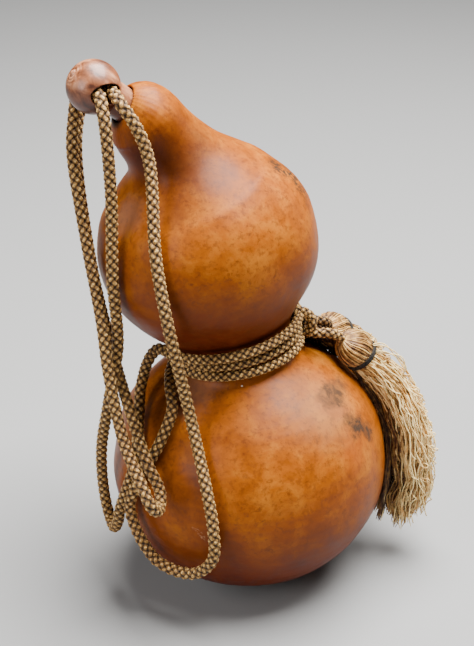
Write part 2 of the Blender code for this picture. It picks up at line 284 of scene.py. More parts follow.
gourd = {
    "spine": [(0, 0, 0), (0, 0, 0.030), (0, 0, 0.058), (-0.0022, 0, 0.088), (-0.0065, 0, 0.115),
              (-0.0188, 0, 0.1575), (-0.0332, -0.0030, 0.1980), (-0.0412, -0.0060, 0.2117),
              (-0.0506, -0.0103, 0.2221)],
    "restRadius": 0.020, "lowerRadius": 0.0615, "lowerHalf": 0.0555,
    "waistRadius": 0.0242, "upperRadius": 0.046, "upperTop": 0.0435, "waistBlend": 0.009,
    "upperMiddle": 5,  # which point of the spine is the upper lobe's middle
}
spineLine = Line(smoothCurve(gourd["spine"]))
lowerAt = gourd["lowerHalf"] * sqrt(1 - (gourd["restRadius"] / gourd["lowerRadius"]) ** 2)
upperAt = float(spineLine.at[gourd["upperMiddle"] * curveSteps])


def domeRadius(s, centre, radius, half):
    return radius * sqrt(max(0.0, 1 - ((s - centre) / half) ** 2))


def blendMax(a, b, width):
    near = max(width - abs(a - b), 0.0)
    return max(a, b) + near * near / (4 * width)


def waistProfile(s):
    # the skin's radius between the middles of the two lobes
    lower = domeRadius(s, lowerAt, gourd["lowerRadius"], gourd["lowerHalf"])
    upper = domeRadius(s, upperAt, gourd["upperRadius"], gourd["upperRadius"])
    blend = gourd["waistBlend"]
    return blendMax(blendMax(lower, gourd["waistRadius"], blend), upper, blend)


def restingRadius(s, reach):
    # how far out a round cord of that radius lies when it rests on the skin
    slants = [radians(a) for a in range(-80, 90, 10)]
    return max(waistProfile(s + reach * sin(a)) + reach * cos(a) for a in slants)


def waistPoint(s, degrees, radius):
    axis = spineLine.direction(s)
    across = np.cross((0, 1, 0), axis)
    across /= np.linalg.norm(across)
    up = np.cross(axis, across)
    turn = radians(degrees)
    return spineLine.place(s) + (across * cos(turn) + up * sin(turn)) * radius


cord = {
    "diameter": 0.0054, "woundDiameter": 0.0047,
    # one turn of a strand, and its half width, half thickness and rise, in cord diameters
    "layPerDiameter": 2.75, "strandWide": 0.19, "strandThick": 0.135, "weave": 0.085,
    "ringsPerLay": 20, "strandSides": 6, "coreSides": 8, "coreRadius": 0.30,
    # the braid's colour by lift is painted shade: near black in the gaps and on the core, pale on
    # the crests
    "colors": [(0.0, (0.012, 0.005, 0.001)), (0.47, (0.044, 0.020, 0.005)),
               (0.70, (0.155, 0.074, 0.016)), (0.86, (0.42, 0.225, 0.055)),
               (1.0, (0.94, 0.63, 0.23))],
    # dingy is the cord's own uneven soiling; the second colour tints the painted shade on the knot
    "dingy": (0.62, 0.47, 0.34), "paintedShade": (0.16, 0.09, 0.06),
    "finish": {"Roughness": 0.60, "Specular IOR Level": 0.35,
               "Sheen Weight": 0.05, "Sheen Roughness": 0.4},
    "toFrontHole": [
        (-0.0384, -0.013, 0.1146), (-0.0431, -0.009, 0.1074), (-0.0469, -0.011, 0.0945),
        (-0.0473, -0.0182, 0.087), (-0.0486, -0.036, 0.0724), (-0.0556, -0.0346, 0.0486),
        (-0.0572, -0.031, 0.0392), (-0.0596, -0.0256, 0.0326), (-0.0616, -0.0202, 0.0334),
        (-0.0638, -0.0186, 0.045), (-0.0638, -0.023, 0.07), (-0.0586, -0.0328, 0.1011),
        (-0.0542, -0.0306, 0.1254), (-0.055, -0.0334, 0.1563), (-0.0544, -0.031, 0.19),
        (-0.0552, -0.0312, 0.214), (-0.0563, -0.0292, 0.2242)],
    "frontLoop": [
        (-0.069, -0.0006, 0.224), (-0.0706, -0.003, 0.214), (-0.0712, -0.009, 0.202),
        (-0.0665, -0.0196, 0.1697), (-0.0603, -0.0322, 0.1374), (-0.0578, -0.0383, 0.1169),
        (-0.0517, -0.0484, 0.0899), (-0.0436, -0.0614, 0.076), (-0.0409, -0.0639, 0.07),
        (-0.0385, -0.0606, 0.0644), (-0.0372, -0.0548, 0.063), (-0.0374, -0.0504, 0.067),
        (-0.0426, -0.0465, 0.0788), (-0.0484, -0.035, 0.091), (-0.0526, -0.028, 0.102),
        (-0.0574, -0.0242, 0.1206), (-0.0646, -0.0172, 0.154), (-0.0702, -0.0022, 0.202),
        (-0.0674, 0.0054, 0.219)],
    "toWaist": [
        (-0.0494, -0.0278, 0.2274), (-0.0448, -0.0288, 0.2206), (-0.0396, -0.0286, 0.206),
        (-0.0369, -0.0434, 0.1705), (-0.0326, -0.0484, 0.1438), (-0.0242, -0.0428, 0.097),
        (-0.0176, -0.0589, 0.0722), (-0.0152, -0.063, 0.0574), (-0.0156, -0.063, 0.0416),
        (-0.0248, -0.0574, 0.0306), (-0.04, -0.0486, 0.0316), (-0.0508, -0.0416, 0.052),
        (-0.0469, -0.0419, 0.0672), (-0.0377, -0.0387, 0.0836), (-0.0326, -0.029, 0.0944),
        (-0.0339, -0.0175, 0.099)],
    "windingTop": 0.1208, "windingPitch": 0.0050, "windingFrom": -140, "windingTo": 904,
    "windingSteps": 150, "windingGap": 0.00084,
    "endSpread": 0.0015, "endReach": 80, "endGap": 0.0009,
    "knot": {  # strokes of the knot, from the winding outwards
        "knotWrap": [(0.0178, -0.0030, 0.1262), (0.0210, -0.0010, 0.1266), (0.0251, 0.0010, 0.1242),
                     (0.0272, 0.0005, 0.1208), (0.0264, 0.0005, 0.1174), (0.0246, 0.0040, 0.1134)],
        "knotToBack": [(0.0238, 0.0075, 0.1178), (0.0285, 0.0075, 0.1180), (0.0326, 0.0100, 0.1162),
                       (0.0352, 0.0145, 0.1122)],
        "knotUnder": [(0.0236, 0.0060, 0.1146), (0.0280, 0.0065, 0.1142), (0.0322, 0.0090, 0.1126),
                      (0.0352, 0.0140, 0.1092)],
        "knotToFront": [(0.024, 0.0015, 0.1162), (0.029, 0.0, 0.1154), (0.0334, 0.0, 0.1156),
                        (0.0372, 0.0018, 0.1136), (0.04, 0.0036, 0.1112), (0.0412, 0.0044, 0.1099)],
    },
    # how much painted shade darkens each stroke of the knot, for the strokes that lie in shade
    "knotPaintedShade": {"knotWrap": 0.0, "knotToBack": 0.45, "knotUnder": 0.9, "knotToFront": 0.0},
}

# here because the cord runs through its hole
stopper = {
    "mouth": (-0.0506, -0.0103, 0.2221), "axis": (-0.70, -0.31, 0.645),
    "hole": (0.396, -0.918, -0.013),
    "knobRadius": 0.0108, "knobAt": 0.0144, "knobShift": (-0.0003, 0.0, -0.0010),
    "holeBelow": 0.0024, "holeHalfWidth": 0.0064, "holeHalfHeight": 0.0042,
    "rim": 0.0098, "pairSpread": 0.0030,
    "shankRadius": 0.0069, "shankTip": 0.0065, "shankDepth": 0.0140, "shankTop": 0.0075,
    "fineness": 0.00026, "worn": 7,
    # how high, how far out and how wide, the last two in knob radii
    "latheRings": [(0.00060, 0.0, 0.075), (-0.00040, 0.16, 0.04),
                   (-0.00016, 0.30, 0.03), (-0.00010, 0.42, 0.03)],
    "colors": [(0.36, (0.070, 0.018, 0.006)), (0.50, (0.26, 0.085, 0.031)),
               (0.64, (0.50, 0.225, 0.115))],
    "stopperUnderShade": (0.24, 0.13, 0.09), "finish": {"Roughness": 0.40, "Coat Weight": 0.12},
}


def windingLine():
    # turns in degrees from one end of the winding to the other
    points = []
    reach = cord["woundDiameter"] / 2 + cord["windingGap"]
    whole = cord["windingTo"] - cord["windingFrom"]
    for k in range(cord["windingSteps"] + 1):
        turned = whole * k / cord["windingSteps"]
        s = cord["windingTop"] - cord["windingPitch"] * turned / 360
        s += cord["endSpread"] * max(0.0, 1 - turned / cord["endReach"]) ** 2
        s -= cord["endSpread"] * max(0.0, 1 - (whole - turned) / cord["endReach"]) ** 2
        points.append(waistPoint(s, cord["windingFrom"] + turned, restingRadius(s, reach)))
    return np.array(points)


def stopperFrame():
    # local Z runs out of the mouth, local X along the cross hole
    z = Vector(stopper["axis"]).normalized()
    y = z.cross(Vector(stopper["hole"])).normalized()
    turn = Matrix((y.cross(z), y, z)).transposed()
    return Matrix.Translation(stopper["mouth"]) @ turn.to_4x4()


def holePass(side, start):
    # one cord through the stopper's hole, from the start's sign to the other
    level = Vector((0, 0, 1)).cross(Vector(stopper["hole"])).normalized()
    height = stopper["knobAt"] - stopper["holeBelow"]
    points = [stopperFrame() @ Vector((x, 0, height)) + level * (side * stopper["pairSpread"])
              for x in (stopper["rim"], 0.0, -stopper["rim"])]
    return [tuple(p) for p in (points if start > 0 else points[::-1])]


def justPast(end, before):
    # a little further along than the winding's end, so that the two cords meet
    return end + (end - before) / np.linalg.norm(end - before) * cord["endGap"]


def loopLine(wound):
    route = [justPast(wound[0], wound[1])] + cord["toFrontHole"] + holePass(-1, 1)
    route += cord["frontLoop"] + holePass(1, -1) + cord["toWaist"]
    return smoothCurve(route + [justPast(wound[-1], wound[-2])])


def framesAlong(centres):
    # direction, side and other side at each point, turned as little as possible
    ahead = np.gradient(centres, axis=0)
    ahead /= np.linalg.norm(ahead, axis=1, keepdims=True)
    side = np.cross(ahead[0], (0.3, 0.9, 0.2))
    sides = []
    for direction in ahead:
        side = side - direction * side.dot(direction)
        side /= np.linalg.norm(side)
        sides.append(side)
    sides = np.array(sides)
    return ahead, sides, np.cross(ahead, sides)


def ringPoints(centres, side, other, wide, thick, sides):
    # an oval ring of points round each centre
    around = np.arange(sides) * 2 * pi / sides
    wide, thick = (np.broadcast_to(half, len(centres))[:, None, None] for half in (wide, thick))
    return (centres[:, None] + side[:, None] * np.cos(around)[None, :, None] * wide
            + other[:, None] * np.sin(around)[None, :, None] * thick)


def tubeFaces(rings, sides, start=0):
    # quads round a tube and a flat cap at each end
    k = np.arange(sides)
    one = np.stack([k, (k + 1) % sides, (k + 1) % sides + sides, k + sides], 1)
    quads = (one[None] + (np.arange(rings - 1) * sides)[:, None, None]).reshape(-1, 4) + start
    caps = [list(range(start + sides - 1, start - 1, -1)),
            list(range(start + (rings - 1) * sides, start + rings * sides))]
    return quads.tolist() + caps


def braidMesh(name, line, diameter, material, paintedShade=0.0):
    # four strands each way round a core painted dark as shade, each over one and under one
    line = Line(line)
    lay = diameter * cord["layPerDiameter"]
    rings = max(8, int(line.length / lay * cord["ringsPerLay"]))
    s = np.linspace(0, line.length, rings)
    centres = line.place(s)
    ahead, side, other = framesAlong(centres)
    reach = 0.5 - cord["weave"] - cord["strandThick"]
    halves = diameter * cord["strandWide"], diameter * cord["strandThick"]
    points, faces, lift = [], [], []
    count = 0
    for hand in (1, -1):
        for number in range(4):
            angle = hand * 2 * pi * s / lay + number * pi / 2
            radius = diameter * (reach + hand * cord["weave"] * np.cos(8 * pi * s / lay))
            outward = side * np.cos(angle)[:, None] + other * np.sin(angle)[:, None]
            middle = centres + outward * radius[:, None]
            along = np.gradient(middle, axis=0)
            along /= np.linalg.norm(along, axis=1, keepdims=True)
            across = np.cross(along, outward)
            across /= np.linalg.norm(across, axis=1, keepdims=True)
            ring = ringPoints(middle, across, np.cross(across, along), *halves, cord["strandSides"])
            away = np.linalg.norm(ring - centres[:, None], axis=2) / diameter
            points.append(ring.reshape(-1, 3))
            lift.append(((away - 0.28) / 0.22).reshape(-1))
            faces += tubeFaces(rings, cord["strandSides"], count)
            count += rings * cord["strandSides"]
    step = max(1, cord["ringsPerLay"] // 5)
    keep = np.unique(np.append(np.arange(0, rings, step), rings - 1))
    radius = diameter * cord["coreRadius"]
    core = ringPoints(centres[keep], side[keep], other[keep], radius, radius, cord["coreSides"])
    points.append(core.reshape(-1, 3))
    # the core gets lift 0, the darkest colour, as painted shade
    lift.append(np.zeros(len(points[-1])))
    faces += tubeFaces(len(keep), cord["coreSides"], count)
    lift = np.clip(np.concatenate(lift), 0, 1)
    return meshFrom(name, np.concatenate(points), faces, material,
                    {"lift": lift, "paintedShade": np.full(len(lift), paintedShade)})


def cordMaterial():
    # lift is how far out a point lies on the braid, 0 in its gaps and 1 on top; the ramp paints
    # shade with it, near black in the gaps
    material, tree, shader = newMaterial("braidedCordFinish")
    where = objectPlace(tree)
    fibre = noiseTexture(tree, where, 1500, 3)
    fuzz = mapRange(tree, fibre, 0.3, 0.7, -0.10, 0.10)
    lift = mathNode(tree, "ADD", attributeValue(tree, "lift"), fuzz)
    color = colorRamp(tree, lift, cord["colors"])
    dingy = mapRange(tree, noiseTexture(tree, where, 38, 3), 0.40, 0.72, 0.0, 0.5)
    color = mixColor(tree, dingy, color, cord["dingy"], "MULTIPLY")
    # painted shade on the knot's strokes that lie in shade
    color = mixColor(tree, attributeValue(tree, "paintedShade"), color, cord["paintedShade"], "MULTIPLY")
    plug(tree, color, shader.inputs["Base Color"])
    setSockets(shader, cord["finish"])
    addBump(tree, shader, fibre, 0.35, 0.0003)
    return material


def addCords():
    finish = cordMaterial()
    wound = windingLine()
    path = loopLine(wound)
    loops = braidMesh("braidedLoops", path, cord["diameter"], finish)
    finishPiece(loops, "cord_loops")
    loopLength, woundLength = Line(path).length, Line(wound).length
    winding = braidMesh("braidedWinding", wound, cord["woundDiameter"], finish)
    finishPiece(winding, "waist_winding")
    for name, points in cord["knot"].items():
        piece = braidMesh(name, smoothCurve(points), cord["woundDiameter"], finish,
                          cord["knotPaintedShade"][name])
        finishPiece(piece, "knot")
    print("braided cord:", round(loopLength, 3), "m loose,", round(woundLength, 3), "m wound")


tassels = {
    # from the tip of the head, through the tie, to the hem
    "front": {"yarns": 920, "strays": 70, "headYarns": 260, "route": [
        (0.0403, 0.004, 0.1109), (0.0452, 0.006, 0.1056), (0.05, 0.008, 0.0996),
        (0.059, 0.009, 0.09), (0.0679, 0.0075, 0.075), (0.0726, 0.0055, 0.0575),
        (0.0737, 0.0045, 0.0397), (0.0715, 0.004, 0.022)]},
    "back": {"yarns": 850, "strays": 36, "headYarns": 230, "route": [
        (0.032, 0.0163, 0.1099), (0.0374, 0.0226, 0.1053), (0.0418, 0.0275, 0.0999),
        (0.049, 0.0344, 0.0915), (0.056, 0.0414, 0.077), (0.06, 0.045, 0.06),
        (0.06, 0.045, 0.042), (0.057, 0.0434, 0.027)]},
    # how far off the upright axis, and how high
    "hugging": [(0.0462, 0.0962), (0.05, 0.088), (0.0556, 0.08), (0.0602, 0.07), (0.0625, 0.06),
                (0.063, 0.049), (0.0622, 0.036), (0.0604, 0.025), (0.059, 0.0175)],
    # how many yarns, then their start, middle and end, each from side to side
    "loose": [(270, ((0.0218, 0.0066, 0.1132), (0.0400, 0.0080, 0.1095)),
               ((0.0228, 0.0140, 0.1105), (0.0430, 0.0150, 0.1030)),
               ((0.0232, 0.0215, 0.1012), (0.0455, 0.0220, 0.0895))),
              (50, ((0.0226, 0.0080, 0.1222), (0.0240, 0.0078, 0.1222)),
               ((0.0228, 0.0090, 0.1165), (0.0246, 0.0088, 0.1165)),
               ((0.0232, 0.0110, 0.1100), (0.0252, 0.0110, 0.1100)))],
    "arcs": [[(0.05, 0.005, 0.105), (0.058, 0.007, 0.1062), (0.065, 0.008, 0.1),
              (0.0709, 0.008, 0.0897), (0.0765, 0.0075, 0.078), (0.0815, 0.0068, 0.064),
              (0.0838, 0.006, 0.0562), (0.0836, 0.0055, 0.044)],
             [(0.052, 0.006, 0.103), (0.059, 0.004, 0.104), (0.066, 0.005, 0.101),
              (0.069, 0.0055, 0.095), (0.0672, 0.006, 0.09), (0.069, 0.006, 0.082),
              (0.0745, 0.006, 0.07), (0.079, 0.006, 0.054)],
             [(0.056, 0.008, 0.1), (0.064, 0.0085, 0.095), (0.07, 0.006, 0.086),
              (0.076, 0.005, 0.072), (0.08, 0.004, 0.056), (0.0822, 0.0045, 0.045),
              (0.0834, 0.005, 0.037), (0.0826, 0.005, 0.032)]],
    "headLength": 0.0140, "headRadius": 0.0078, "neckRadius": 0.0067,
    "skirtDeep": 0.0092, "skirtWide": 0.0122, "yarnRadius": 0.00034, "headYarnRadius": 0.00030,
    "huggingYarns": 140, "arcCopies": 3,
    "locks": 46, "lockHold": 0.72, "reach": 0.950, "reachSpread": 0.05, "outerRise": 0.060,
    "shortShare": 0.16, "wave": 0.0011, "waveLength": 0.0125,
    "fineWave": 0.00028, "fineLengths": (0.0088, 0.0097),
    # a yarn's tone and its spread, from 0 dark to 1 pale
    "tones": {"head": (0.64, 0.14), "skirt": (0.69, 0.21), "strays": (0.90, 0.10),
              # the low tones of hugging and loose yarn are painted shade
              "hugging": (0.46, 0.26), "arcs": (0.98, 0.03), "loose": (0.20, 0.10)},
    # both are painted shade: yarn that faces the gourd is darkened, and the core is painted dark
    "innerShade": 0.20, "coreShadeTone": 0.05,
    "colors": [(0.0, (0.026, 0.010, 0.005)), (0.30, (0.13, 0.054, 0.018)),
               (0.62, (0.54, 0.28, 0.070)), (1.0, (1.0, 0.76, 0.34))],
    "finish": {"Roughness": 0.50, "Specular IOR Level": 0.25, "Sheen Weight": 0.05},
}
binding = {
    "turns": 5, "stepsPerTurn": 40, "pitch": 0.00044, "threadRadius": 0.00036, "offNeck": 0.00085,
    "colors": [(0.35, (0.006, 0.006, 0.005)), (0.7, (0.045, 0.036, 0.028))],
    "finish": {"Roughness": 0.8, "Specular IOR Level": 0.2},
}


def tasselFrame(line, s):
    axis = line.direction(s)
    centre = line.place(s)
    away = centre * np.array([1, 1, 0])  # away from the gourd
    away = away / np.linalg.norm(away, axis=-1, keepdims=True)
    away = away - axis * (away * axis).sum(-1, keepdims=True)
    away = away / np.linalg.norm(away, axis=-1, keepdims=True)
    return centre, axis, away, np.cross(axis, away)


def tasselHalves(s, length):
    # half depth and half width along the tassel
    s = np.asarray(s, dtype=float)
    head = tassels["headLength"]
    neck = tassels["neckRadius"]
    cap = np.sqrt(np.maximum(0, 1 - (1 - np.clip(s / (0.56 * head), 0, 1)) ** 2))
    pinch = np.clip((s - 0.56 * head) / (0.44 * head), 0, 1)
    headHalf = cap * (tassels["headRadius"] - (tassels["headRadius"] - neck) * pinch ** 2)
    below = np.clip((s - head) / (length - head), 0, 1.2)
    spread = np.sin(pi / 2 * np.minimum(1, below / 0.55)) ** 0.8
    spread = spread * (1 - 0.12 * np.maximum(0, below - 0.75) / 0.25)
    return [np.where(s < head, headHalf, neck + (half - neck) * spread)
            for half in (tassels["skirtDeep"], tassels["skirtWide"])]


def tasselAt(line, s):
    return *tasselFrame(line, s), *tasselHalves(s, line.length)


def yarnTubes(lines, radius, sides=3):
    # one thin tapered tube along each line of points
    count, rings = lines.shape[:2]
    ahead = np.gradient(lines, axis=1)
    ahead /= np.linalg.norm(ahead, axis=2, keepdims=True) + 1e-12
    across = np.cross(ahead, np.array([0.25, 0.93, 0.27]))
    across /= np.linalg.norm(across, axis=2, keepdims=True) + 1e-12
    other = np.cross(ahead, across)
    around = np.arange(sides) * 2 * pi / sides
    taper = np.ones(rings)
    taper[-1] = 0.45
    size = radius * taper[None, :, None, None] * np.ones((count, 1, 1, 1))
    ring = (lines[:, :, None] + across[:, :, None] * np.cos(around)[None, None, :, None] * size
            + other[:, :, None] * np.sin(around)[None, None, :, None] * size)
    faces = []
    one = tubeFaces(rings, sides)
    for k in range(count):
        shift = k * rings * sides
        faces += [[v + shift for v in face] for face in one]
    return ring.reshape(-1, 3), faces


def headLines(line, count):
    # yarns that run from the pole over the dome and into the tie
    rings = 15
    along = np.linspace(0, 1, rings)
    s = tassels["headLength"] * (1.03 * along) ** 1.7
    centre, axis, away, sideways, deep, wide = tasselAt(line, s)
    deep, wide = np.maximum(deep, 0.0003), np.maximum(wide, 0.0003)
    swirl, bulge = 0.5 * (1 - along), 0.05 * np.exp(-((along - 0.86) / 0.1) ** 2)
    lines = []
    for k in range(count):
        layer = 1.0 - 0.045 * (k % 3)
        angle = 2 * pi * (k + random.uniform(-0.4, 0.4)) / count
        # a slight swirl out of the pole, and a bulge just above the tie
        sway = angle + swirl + 0.09 * np.sin(pi * along) * random.normal()
        puff = 1 + bulge * random.uniform(0, 1)
        out = (away * np.cos(sway)[:, None] * (deep * layer * puff)[:, None]
               + sideways * np.sin(sway)[:, None] * (wide * layer * puff)[:, None])
        lines.append(centre + out)
    return np.array(lines)


def skirtLines(line, count):
    # locks of wavy yarn that hang from the tie
    rings = 24
    tie = tassels["headLength"] * 0.95
    locks = tassels["locks"]
    lockAngle = random.uniform(0, 2 * pi, locks)
    lockOut = np.sqrt(random.uniform(0.25, 1.0, locks))
    lockWave = random.uniform(0, 2 * pi, (locks, 2))
    lockTurn = random.normal(0, 0.35, locks)
    # a lock's own tone at random, plus painted shade: the deeper it lies the darker it is
    lockTone = random.normal(0, 0.15, locks) + 0.55 * (lockOut - 0.82)
    lines, tones = [], []
    for k in range(count):
        lock = random.integers(locks)
        tones.append(lockTone[lock])
        # the outer side hangs less low than the side at the lobe
        lockX, lockY = (lockOut[lock] * turned(lockAngle[lock]) for turned in (cos, sin))
        reach = random.normal(tassels["reach"], tassels["reachSpread"])
        reach -= tassels["outerRise"] * lockX
        if random.random() < tassels["shortShare"]:
            reach *= random.uniform(0.62, 0.92)
        share = np.linspace(0, min(reach, 1.07), rings)
        s = tie + share * (line.length - tie)
        over = np.maximum(0, s - line.length)
        centre, axis, away, sideways, deep, wide = tasselAt(line, s)
        centre = centre + axis * over[:, None]
        # a yarn leaves its own place in the tie and joins its lock
        hold = np.clip(share * 1.7, 0, tassels["lockHold"])
        ownAngle, ownOut = random.uniform(0, 2 * pi), sqrt(random.uniform(0.30, 1.0))
        x = (1 - hold) * ownOut * cos(ownAngle) + hold * lockX
        y = (1 - hold) * ownOut * sin(ownAngle) + hold * lockY
        x = x + 0.10 * random.normal() * share
        y = y + 0.10 * random.normal() * share
        wave = tassels["wave"] * share ** 0.8
        bend = s / tassels["waveLength"] * 2 * pi * (0.55 + 0.1 * lockTurn[lock])
        fineX, fineY = (s / fineLength * 2 * pi + k for fineLength in tassels["fineLengths"])
        x = x * deep + wave * np.sin(bend + lockWave[lock, 0]) + tassels["fineWave"] * np.sin(fineX)
        y = (y * wide + wave * np.cos(bend * 0.83 + lockWave[lock, 1])
             + tassels["fineWave"] * np.cos(fineY))
        y = y + lockTurn[lock] * 0.004 * share ** 2
        lines.append(centre + away * x[:, None] + sideways * y[:, None])
    return np.array(lines), np.array(tones)


def strayLines(line, count):
    # single yarns that curl out of the skirt, mostly on its outer side
    rings = 34
    head = tassels["headLength"]
    lines = []
    for k in range(count):
        start = random.uniform(0.05, 0.75)
        reach = min(1.02, start + random.uniform(0.18, 0.5))
        share = np.linspace(start, reach, rings)
        grow = np.linspace(0, 1, rings)
        s = head + share * (line.length - head)
        centre, axis, away, sideways, deep, wide = tasselAt(line, s)
        angle = random.normal(0, 0.9)
        wound = 2 * pi * random.uniform(1.0, 3.6) * grow
        curl = random.uniform(0.6, 2.6) * mm * np.sin(pi * grow) ** 0.6
        phase = random.uniform(0, 2 * pi)
        lean = random.uniform(-0.6, 2.2) * mm * grow
        x = deep * 0.96 * cos(angle) + curl * np.sin(wound + phase) + lean
        y = wide * 0.96 * sin(angle) + 0.6 * curl * np.sin(wound * 0.9 + phase + 1.3)
        drop = curl * np.cos(wound + phase)
        lines.append(centre + away * x[:, None] + sideways * y[:, None] + axis * drop[:, None])
    return np.array(lines)


def huggingLines():
    # yarn under the front tassel that lies against the lower lobe, given a low tone as painted shade
    rings = 24
    route = np.array(tassels["hugging"])
    stops = np.arange(len(route))
    lines = []
    for k in range(tassels["huggingYarns"]):
        share = np.linspace(0, random.uniform(0.74, 1.0), rings) * stops[-1]
        radius = np.interp(share, stops, route[:, 0]) + random.uniform(-0.0004, 0.0022)
        height = np.interp(share, stops, route[:, 1])
        grow = share / stops[-1]
        turn = radians(9) + radians(random.uniform(-11, 8)) * grow ** 0.7
        turn = turn + 0.006 * np.sin(share * random.uniform(1.2, 2.2) + random.uniform(0, 6))
        radius = radius + 0.0005 * np.sin(share * random.uniform(1.2, 2.4) + random.uniform(0, 6))
        lines.append(np.stack([radius * np.cos(turn), radius * np.sin(turn), height], 1))
    return np.array(lines)


def looseLines():
    # yarn that hangs out of the knot and over the shoulder behind it, given a dark tone as painted
    # shade
    rings = 12
    share = np.linspace(0, 1, rings)[:, None]
    lines = []
    for count, *rows in tassels["loose"]:
        rows = np.array(rows)
        for k in range(count):
            across = random.uniform(0, 1)
            bent = rows[:, 0] + (rows[:, 1] - rows[:, 0]) * across
            start, middle, end = bent + random.normal(0, 0.0008, (3, 3))
            lines.append(start * (1 - share) ** 2 + middle * 2 * share * (1 - share)
                         + end * share ** 2)
    return np.array(lines)


def arcLines():
    # a few long pale threads that spring away from the outer side
    rings = 34
    lines = []
    for route in tassels["arcs"]:
        for copy in range(tassels["arcCopies"]):
            shaken = np.array(route) + random.normal(0, 0.0005, (len(route), 3))
            arc = Line(smoothCurve(shaken))
            lines.append(arc.place(np.linspace(0, arc.length * random.uniform(0.86, 1.0), rings)))
    return np.array(lines)


def skirtCore(line):
    # the inside of the bundle, painted dark as shade, so that nothing shows through it
    rings, sides = 26, 20
    s = np.append([0.0012, 0.002, 0.0035], np.linspace(0.006, line.length * 0.93, rings - 3))
    centre, axis, away, sideways, deep, wide = tasselAt(line, s)
    thin = np.where(s < tassels["headLength"], 0.88, 0.70)
    ring = ringPoints(centre, away, sideways, deep * thin, wide * thin, sides)
    return ring.reshape(-1, 3), tubeFaces(rings, sides)


def yarnMaterial():
    material, tree, shader = newMaterial("tasselYarnFinish")
    fleck = mapRange(tree, noiseTexture(tree, objectPlace(tree), 420, 3), 0.3, 0.7, -0.14, 0.14)
    tone = mathNode(tree, "ADD", attributeValue(tree, "tone"), fleck)
    plug(tree, colorRamp(tree, tone, tassels["colors"]), shader.inputs["Base Color"])
    setSockets(shader, tassels["finish"])
    return material


def addTassel(name, which, nodeName, finish):
    line = Line(smoothCurve(which["route"]))
    thin, thick = tassels["headYarnRadius"], tassels["yarnRadius"]
    head = headLines(line, which["headYarns"])
    skirt, lockTones = skirtLines(line, which["yarns"])
    groups = [("head", head, thin), ("skirt", skirt, thick),
              ("strays", strayLines(line, which["strays"]), thick * 0.9)]
    if nodeName == "tassel_front":
        groups += [("hugging", huggingLines(), thick), ("arcs", arcLines(), thick * 0.8)]
    else:
        groups += [("loose", looseLines(), thick)]
    points, faces, tone = [], [], []
    count = 0
    for group, lines, radius in groups:
        somePoints, someFaces = yarnTubes(lines, radius)
        faces += [[v + count for v in face] for face in someFaces]
        count += len(somePoints)
        points.append(somePoints)
        middle, spread = tassels["tones"][group]
        if group == "skirt":
            middle = middle + lockTones
        # painted shade: yarn on the side that faces the gourd is darker
        inner = ((lines.mean(1) - line.points.mean(0)) * np.array([1, 0, 0.3])).sum(1) < -0.002
        yarnTone = random.normal(middle, spread, len(lines)) - tassels["innerShade"] * inner
        yarnTone = np.clip(yarnTone, 0.08, 1.0)
        tone.append(np.repeat(yarnTone, len(somePoints) // len(lines)))
    core, coreFaces = skirtCore(line)
    faces += [[v + count for v in face] for face in coreFaces]
    points.append(core)
    tone.append(np.full(len(core), tassels["coreShadeTone"]))
    piece = meshFrom(name, np.concatenate(points), faces, finish, {"tone": np.concatenate(tone)})
    finishPiece(piece, nodeName)


def addBinding(name, which, nodeName, finish):
    # a dark thread wound a little unevenly round the tassel's neck
    line = Line(smoothCurve(which["route"]))
    centre, axis, away, sideways = tasselFrame(line, np.array(tassels["headLength"]))
    turns, perTurn = binding["turns"], binding["stepsPerTurn"]
    turn = np.arange(turns * perTurn + 1) / perTurn
    angle = 2 * pi * turn
    height = (turn - turns / 2) * binding["pitch"] + 0.0001 * np.sin(turn * 5.3)
    radius = tassels["neckRadius"] + binding["offNeck"] + 0.00015 * np.sin(angle * 1.618)
    coil = (centre + away * (np.cos(angle) * radius)[:, None]
            + sideways * (np.sin(angle) * radius)[:, None] + axis * height[:, None])
    points, faces = yarnTubes(coil[None], binding["threadRadius"], 6)
    piece = meshFrom(name, points, faces, finish)
    finishPiece(piece, nodeName)


def threadMaterial():
    material, tree, shader = newMaterial("darkThreadFinish")
    twist = noiseTexture(tree, objectPlace(tree), 900, 2)
    plug(tree, colorRamp(tree, twist, binding["colors"]), shader.inputs["Base Color"])
    setSockets(shader, binding["finish"])
    return material


def addTassels():
    finish, thread = yarnMaterial(), threadMaterial()
    addTassel("tasselFrontYarn", tassels["front"], "tassel_front", finish)
    addTassel("tasselBackYarn", tassels["back"], "tassel_back", finish)
    addBinding("bindingFrontThread", tassels["front"], "binding_front", thread)
    addBinding("bindingBackThread", tassels["back"], "binding_back", thread)
    print("tassels and their bindings are made")


